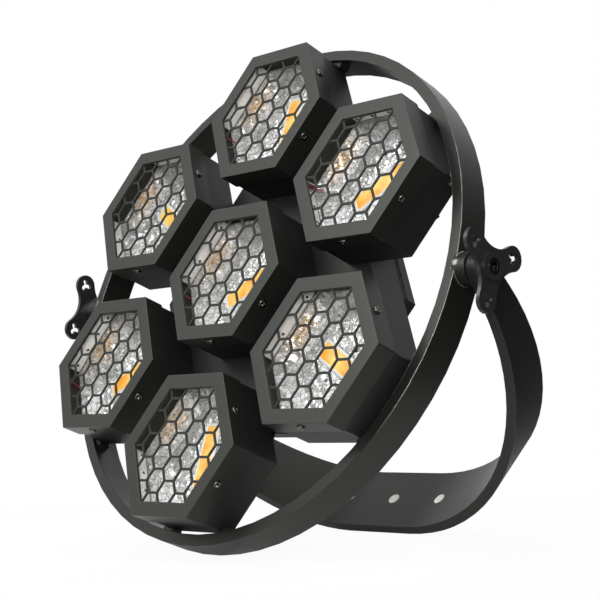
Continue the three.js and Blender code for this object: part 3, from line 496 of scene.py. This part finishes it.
# Phosphor in clear silicone goes from yellow to orange with its thickness and shows the LED dice below as
# dots. It turns the blue part of daylight into yellow light; here a faint fixed emission paints that on as a
# painted glow, so it looks faintly lit even when it is off.
gel, tree, place = new_material("yellow_phosphor_gel")
dots = add_node(tree, "TexVoronoi", {"Vector": place, "Scale": 1 / 0.0034}, feature="F1")
cloud = noise(tree, place, 45.0)
tone = blend(tree, spread(tree, cloud, 0.36, 0.64, 0.0, 1.0), linear("#ffa630"), linear("#ffe17c"))
shade = spread(tree, (dots, "Distance"), 0.0, 0.5, 0.92, 1.0)
spotted = add_node(tree, "VectorMath", {0: tone, "Scale": shade}, operation="SCALE")
surface(tree, {"Base Color": (spotted, 0), "Roughness": 0.3, "Coat Weight": 0.2,
               "Emission Color": linear("#ffb640"), "Emission Strength": 0.12,
               "Normal": bumps(tree, cloud, 0.25, 0.0002)})


def drawn_metal(name, colour, metallic, roughness, grain, stretch):
    """Extruded, rolled or turned metal: fine lines drawn along one axis, patchy tone and gloss."""
    made, tree, place = new_material(name)
    along = add_node(tree, "Mapping", {"Vector": place, "Scale": stretch})
    lines = noise(tree, (along, 0), 1 / grain, 3.0)
    patch = noise(tree, place, 35.0, 3.0)
    surface(tree, {"Base Color": blend(tree, patch, linear(colour, 0.8), linear(colour, 1.15)),
                   "Metallic": metallic,
                   "Roughness": spread(tree, lines, 0.0, 1.0, roughness - 0.07, roughness + 0.1),
                   "Normal": bumps(tree, lines, 0.2, 0.00015)})
    return made


# Black anodising keeps a dull metal sheen, with the extrusion's lines along the fins.
black_anodised = drawn_metal("black_anodised_aluminium", "#1a1a1b", 0.6, 0.45, 0.0006, (1.0, 0.1, 1.0))
for lamp in LAMPS:
    finish_node("heat_sink_" + lamp, black_anodised)
    along, across = side_directions(30 + ENGINE_TURN[lamp])
    middle = lamp_middle(lamp) + np.array([0, BOARD_FRONT, 0])
    grids = [(set_in(slab(*form), middle, along, across, FACING_FRONT), coat)
             for form, coat in ((BOARD, 0), (DAM, 0), (STRIP, 1))]
    made = piece("led_bar_" + lamp, grids, [solder_mask, gel], "head")
    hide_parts("led_" + lamp)


# Strip boards: narrow white boards on every other inside wall of each case, between grille and reflector,
# with four small LEDs each. The bare walls between them are black.
WALL_APOTHEM = 0.0717
STRIP_DEPTH = 0.0148
STRIP_BOARD = (0.0395, 0.0102, 0.0008), [(0.0, 0.0001), (0.0, 0.0011), (0.0002, 0.0013)]
LED_STEPS, LED_ASIDE = (-0.0325, -0.011, 0.011, 0.0325), 0.0035
LED_CHIP = (0.0026, 0.0026, 0.0004), [(0.0, 0.0011), (0.0, 0.0024), (0.0004, 0.0027)]
LED_LENS = (0.0017, 0.0017, 0.0016), [(0.0, 0.0025), (0.0, 0.0028), (0.0006, 0.0033)]
FACING_BACK = np.array([0, 1.0, 0])

# The lens over a small LED that is off looks like a dark, glossy drop.
lens, tree, place = new_material("dark_led_lens")
tint = noise(tree, place, 300.0)
surface(tree, {"Base Color": blend(tree, tint, linear("#2b2a26"), linear("#4a4534")),
               "Roughness": spread(tree, tint, 0.0, 1.0, 0.15, 0.3), "Coat Weight": 0.5})
for lamp in LAMPS:
    grids = []
    for wall in (30, 150, 270):
        outward, along = side_directions(wall + ENGINE_TURN[lamp])
        middle = lamp_middle(lamp) + outward * WALL_APOTHEM + FACING_BACK * STRIP_DEPTH
        grids.append((set_in(slab(*STRIP_BOARD), middle, along, FACING_BACK, -outward), 0))
        for shift in LED_STEPS:
            spot = middle + along * shift + FACING_BACK * LED_ASIDE
            grids.append((set_in(slab(*LED_CHIP), spot, along, FACING_BACK, -outward), 0))
            grids.append((set_in(slab(*LED_LENS), spot, along, FACING_BACK, -outward), 1))
    piece("strip_boards_" + lamp, grids, [solder_mask, lens], "head")


# Case screws: black nickel-plated pan heads with a deep recess, in the middle of four sides of each front
# cap. They hold the cap to the can. The two sides at the ends of the LED bar have none.
CAP_APOTHEM = 0.075
SCREW_DEPTH = 0.0100
SCREW_SIDES = (1, 2, 4, 5)
CAP_SCREW = (0.0043, 0.0022)


def pan_head(radius, height, columns=32):
    """A low dome turned round its axis, its middle sunk in a four-armed recess.
    Rows run from the seat over the edge to the recess floor; columns go round."""
    angle = np.linspace(0, 2 * math.pi, columns, endpoint=False)
    arms = 0.30 + 0.28 * np.abs(np.cos(2 * angle)) ** 5
    dome = [(0.0, 0.0), (1.0, 0.0), (1.0, 0.35), (0.95, 0.66), (0.84, 0.9), (0.70, 1.0)]
    recess = [(arms, 1.0), (arms * 0.9, -0.2), (0.0, -0.3)]
    return np.stack([np.stack([radius * share * np.cos(angle), radius * share * np.sin(angle),
                               np.full(columns, height * level)], 1) for share, level in dome + recess])


# Bright nickel under a thin black finish mirrors its surroundings as small sharp glints.
nickel = drawn_metal("black_nickel_plated_steel", "#62615d", 1.0, 0.22, 0.0008, (1.0, 1.0, 1.0))
for lamp in LAMPS:
    grids = []
    for side in SCREW_SIDES:
        outward, along = side_directions(30 + 60 * side + ENGINE_TURN[lamp])
        middle = lamp_middle(lamp) + outward * CAP_APOTHEM + FACING_BACK * SCREW_DEPTH
        grids.append((set_in(pan_head(*CAP_SCREW), middle, along, FACING_BACK, outward), 0))
    piece("cap_screws_" + lamp, grids, [nickel], "head")


# Cover screws: six smaller heads of the same kind near the corners of the rear cover's flat back.
# They hold the cover to the frame.
COVER_BACK_DEPTH = 0.1685
COVER_SCREW_RING = 0.0880
COVER_SCREW = (0.0032, 0.0018)
grids = []
for turn in np.arange(6) * math.pi / 3:
    right, up = COVER_SCREW_RING * math.cos(turn), COVER_SCREW_RING * math.sin(turn)
    middle = np.array([right, COVER_BACK_DEPTH, up])
    grids.append((set_in(pan_head(*COVER_SCREW), middle, [1.0, 0, 0], [0, 0, 1.0], FACING_BACK), 0))
piece("cover_screws", grids, [nickel], "head")


# Wires: thin silicone leads that drop behind the reflectors beside the left corner of some lamps.
# Each is a round tube along a smooth line through its points, given as (right, depth, up) from the
# lamp's middle.
LEAD_RADIUS = 0.0006
RED, VIOLET, WHITE = 0, 1, 2
LEADS = {
    "centre": {RED: [(-0.0760, 0.0060, -0.0060), (-0.0725, 0.0150, -0.0147),
                     (-0.0714, 0.0270, -0.0164), (-0.0700, 0.0300, -0.0170)]},
    "lower_left": {RED: [(-0.0765, 0.0060, -0.0070), (-0.0722, 0.0160, -0.0155),
                         (-0.0712, 0.0280, -0.0180), (-0.0700, 0.0310, -0.0190)]},
    "upper_right": {VIOLET: [(-0.0805, 0.0065, -0.0010), (-0.0795, 0.0160, -0.0022),
                             (-0.0770, 0.0260, -0.0030), (-0.0720, 0.0320, -0.0020)],
                    RED: [(-0.0803, 0.0065, 0.0012), (-0.0792, 0.0165, 0.0002),
                          (-0.0765, 0.0262, -0.0004), (-0.0722, 0.0320, 0.0006)],
                    WHITE: [(-0.0800, 0.0055, 0.0030), (-0.0785, 0.0165, 0.0026),
                            (-0.0760, 0.0258, 0.0022), (-0.0722, 0.0315, 0.0030)]},
    "top": {RED: [(-0.0770, 0.0060, -0.0060), (-0.0735, 0.0150, -0.0120),
                  (-0.0720, 0.0265, -0.0135), (-0.0700, 0.0300, -0.0140)]},
}


def tube(points, radius, sides=10, steps=14):
    """A round tube along a smooth cubic line through the points, closed by a point at both ends."""
    points = np.asarray(points, float)
    share = np.linspace(0, len(points) - 1, steps * (len(points) - 1) + 1)
    cell = np.clip(share.astype(int), 0, len(points) - 2)
    t = (share - cell)[:, None]
    before, after = points[np.maximum(cell - 1, 0)], points[np.minimum(cell + 2, len(points) - 1)]
    a, b = points[cell], points[cell + 1]
    bend = 2 * before - 5 * a + 4 * b - after
    line = 0.5 * (2 * a + (b - before) * t + bend * t ** 2 + (3 * a - before - 3 * b + after) * t ** 3)
    ahead = np.gradient(line, axis=0)
    ahead /= np.linalg.norm(ahead, axis=1)[:, None]
    side = np.cross(ahead, [0.13, 0.2, 0.97])
    side /= np.linalg.norm(side, axis=1)[:, None]
    other = np.cross(ahead, side)
    angle = np.linspace(0, 2 * math.pi, sides, endpoint=False)[None, :, None]
    ring = line[:, None, :] + radius * (np.cos(angle) * side[:, None, :] + np.sin(angle) * other[:, None, :])
    first, last = np.repeat(line[:1, None], sides, 1), np.repeat(line[-1:, None], sides, 1)
    return np.concatenate([first, ring, last])


def lead(name, colour):
    """Soft silicone insulation, slightly glossy, with dusty streaks."""
    made, tree, place = new_material(name)
    dust = noise(tree, place, 400.0, 3.0)
    surface(tree, {"Base Color": blend(tree, dust, linear(colour, 0.75), linear(colour)),
                   "Roughness": spread(tree, dust, 0.0, 1.0, 0.3, 0.5)})
    return made


lead_coats = [lead("red_silicone_lead", "#b8323a"), lead("violet_silicone_lead", "#7a3f72"),
              lead("white_silicone_lead", "#d9cfd0")]
for lamp, runs in LEADS.items():
    middle = lamp_middle(lamp)
    grids = [(on_head(tube(np.array(points) + middle, LEAD_RADIUS)), coat) for coat, points in runs.items()]
    piece("wires_" + lamp, grids, lead_coats, "head")


# Hoop and yoke: aluminium flat bar, the hoop rolled to a ring and the yoke bent to a wide bow, both powder
# coated in a duller satin black with edges broken by about a millimetre. The knobs' bolts join them at the
# two bosses.
PAINTED_GLINT_SPOTS = (((0.2812, 0.0455, 0.0005), 0.0042), ((0.2808, 0.0550, -0.0133), 0.0022))
BOLT_HOLES = ((-0.0696, 0.1590, 0.0276), (0.0, 0.1590, 0.0276), (0.0696, 0.1590, 0.0276))
HOLE_AXIS = (0.0, 0.638942, -0.769255)
HOLE_RADIUS = 0.0065


def paint_over(coat, share, colour):
    """Lays a colour over a finished coat's own, as far as the share, an output in its tree, reaches."""
    tree = coat.node_tree
    base = next(node for node in tree.nodes if node.type == "BSDF_PRINCIPLED").inputs["Base Color"]
    over = blend(tree, share, (base.links[0].from_node, 2), linear(colour))
    tree.links.new(over[0].outputs[over[1]], base)


def own_place(coat):
    """The pair in a finished coat's tree that gives a place on the piece in metres."""
    return next(node for node in coat.node_tree.nodes if node.type == "TEX_COORD"), "Object"


# The hoop's edges near the bosses carry a strong painted highlight, a thin light line along its front, and
# two painted glints sit as bright speckled spots on the right boss.
hoop_coat = powder_coat("satin_black_powder_coat_painted_highlights", "#161815", 0.3, 0.38, 0.37, 1.9, "#eceee8",
                        (0.225, 0.283, 0.03))
tree, place = hoop_coat.node_tree, own_place(hoop_coat)
speckle = noise(tree, place, 700.0, 3.0)
for spot, radius in PAINTED_GLINT_SPOTS:
    away = vector_step(tree, "DISTANCE", place, on_head(spot).tolist())
    near = spread(tree, (away, "Value"), radius, radius * 0.4, 0.0, 1.5)
    paint_over(hoop_coat, step(tree, "MULTIPLY", near, speckle), "#e4e6e0")
finish_node("hoop", hoop_coat, 0.0011)

# The bolt holes' walls in the yoke's base are painted near white: painted light that stands for light coming
# through them.
yoke_coat = powder_coat("satin_black_powder_coat", "#141513", 0.3, 0.42, 0.35)
tree, place = yoke_coat.node_tree, own_place(yoke_coat)
for hole in BOLT_HOLES:
    aside = vector_step(tree, "SUBTRACT", place, hole)
    across = vector_step(tree, "CROSS_PRODUCT", (aside, 0), HOLE_AXIS)
    reach = vector_step(tree, "LENGTH", (across, 0))
    painted_light_in_hole = spread(tree, (reach, "Value"), HOLE_RADIUS + 0.0004, HOLE_RADIUS + 0.0001, 0.0, 1.0)
    paint_over(yoke_coat, painted_light_in_hole, "#eeeeea")
finish_node("yoke", yoke_coat, 0.0012)


# Rear case: a black-coated steel frame, a folded vented cover screwed to it, and a folded six-sided body
# that reaches forward to the lamps' backs, so no light shows between the middle lamp and those round it.
CASE_APOTHEM, CASE_WALL = 0.1400, 0.0020
CASE_FRONT, CASE_BACK = 0.0634, 0.1099
finish_node("rear_frame", black_coat, 0.0003, 1)
finish_node("rear_cover", black_coat, 0.0005)
tray = [(0.0, CASE_FRONT), (CASE_APOTHEM, CASE_FRONT), (CASE_APOTHEM, CASE_BACK),
        (CASE_APOTHEM - CASE_WALL, CASE_BACK), (CASE_APOTHEM - CASE_WALL, CASE_FRONT + CASE_WALL),
        (0.0, CASE_FRONT + CASE_WALL)]
corner = np.arange(6) * math.pi / 3
rings = [np.stack([six_sided_radius(apothem, corner) * np.cos(corner), np.full(6, depth),
                   six_sided_radius(apothem, corner) * np.sin(corner)], 1) for apothem, depth in tray]
case_body = piece("case_body", [(on_head(np.stack(rings)), 0)], [black_coat], "head")
soften(case_body, 0.0006)


# Driver parts: a power supply in a folded aluminium box, a control board behind the display window and its
# four buttons, and three plastic sockets that are screwed into the cover.
def moulded(name, colour, grain, roughness):
    """Injection-moulded nylon or ABS: a fine spark-eroded grain, cloudy tone and patchy gloss."""
    made, tree, place = new_material(name)
    cloud = noise(tree, place, 40.0, 3.0)
    pits = noise(tree, place, 1 / grain)
    surface(tree, {"Base Color": blend(tree, cloud, linear(colour, 0.75), linear(colour, 1.3)),
                   "Roughness": spread(tree, cloud, 0.0, 1.0, roughness - 0.07, roughness + 0.08),
                   "Normal": bumps(tree, pits, 0.3, 0.00015)})
    return made


# ABS looks dull and faintly grained, the board's green mask cloudy, and the mill aluminium plain and brushed.
black_abs = moulded("black_abs", "#1d1f1e", 0.0009, 0.5)
green_board = moulded("green_solder_mask", "#14442c", 0.0015, 0.35)
mill_aluminium = drawn_metal("folded_mill_aluminium", "#a9aba9", 1.0, 0.4, 0.0008, (0.06, 1.0, 1.0))

# The display's smoked acrylic is a dark blue gloss with faint smudges.
window, tree, place = new_material("smoked_acrylic")
smudge = noise(tree, place, 60.0, 4.0)
surface(tree, {"Base Color": blend(tree, smudge, linear("#0a121b"), linear("#101c28")),
               "Roughness": spread(tree, smudge, 0.0, 1.0, 0.04, 0.16), "Coat Weight": 0.3})
finish_node("power_supply", mill_aluminium, 0.0005)
finish_node("control_board", green_board)
finish_node("display", window, 0.0004)
for number in (1, 2, 3, 4):
    finish_node("menu_button_%d" % number, black_abs, 0.0006)
for socket in ("signal_in_socket", "power_inlet", "signal_out_socket"):
    finish_node(socket, black_abs, 0.0004)


# Knobs: three-lobed handwheels moulded in black nylon over a blackened steel bolt, which screws into the
# hoop's boss. Their rounded satin rims catch the light; the bolt's turned head in the hub is darker.
black_nylon = moulded("black_glass_filled_nylon", "#222423", 0.0012, 0.3)
blackened = drawn_metal("blackened_steel", "#3a3b3a", 1.0, 0.35, 0.0007, (0.2, 1.0, 1.0))
for side in ("right", "left"):
    finish_node("knob_" + side, black_nylon, 0.0011, 3)
    finish_node("pivot_bolt_" + side, blackened, 0.0004)
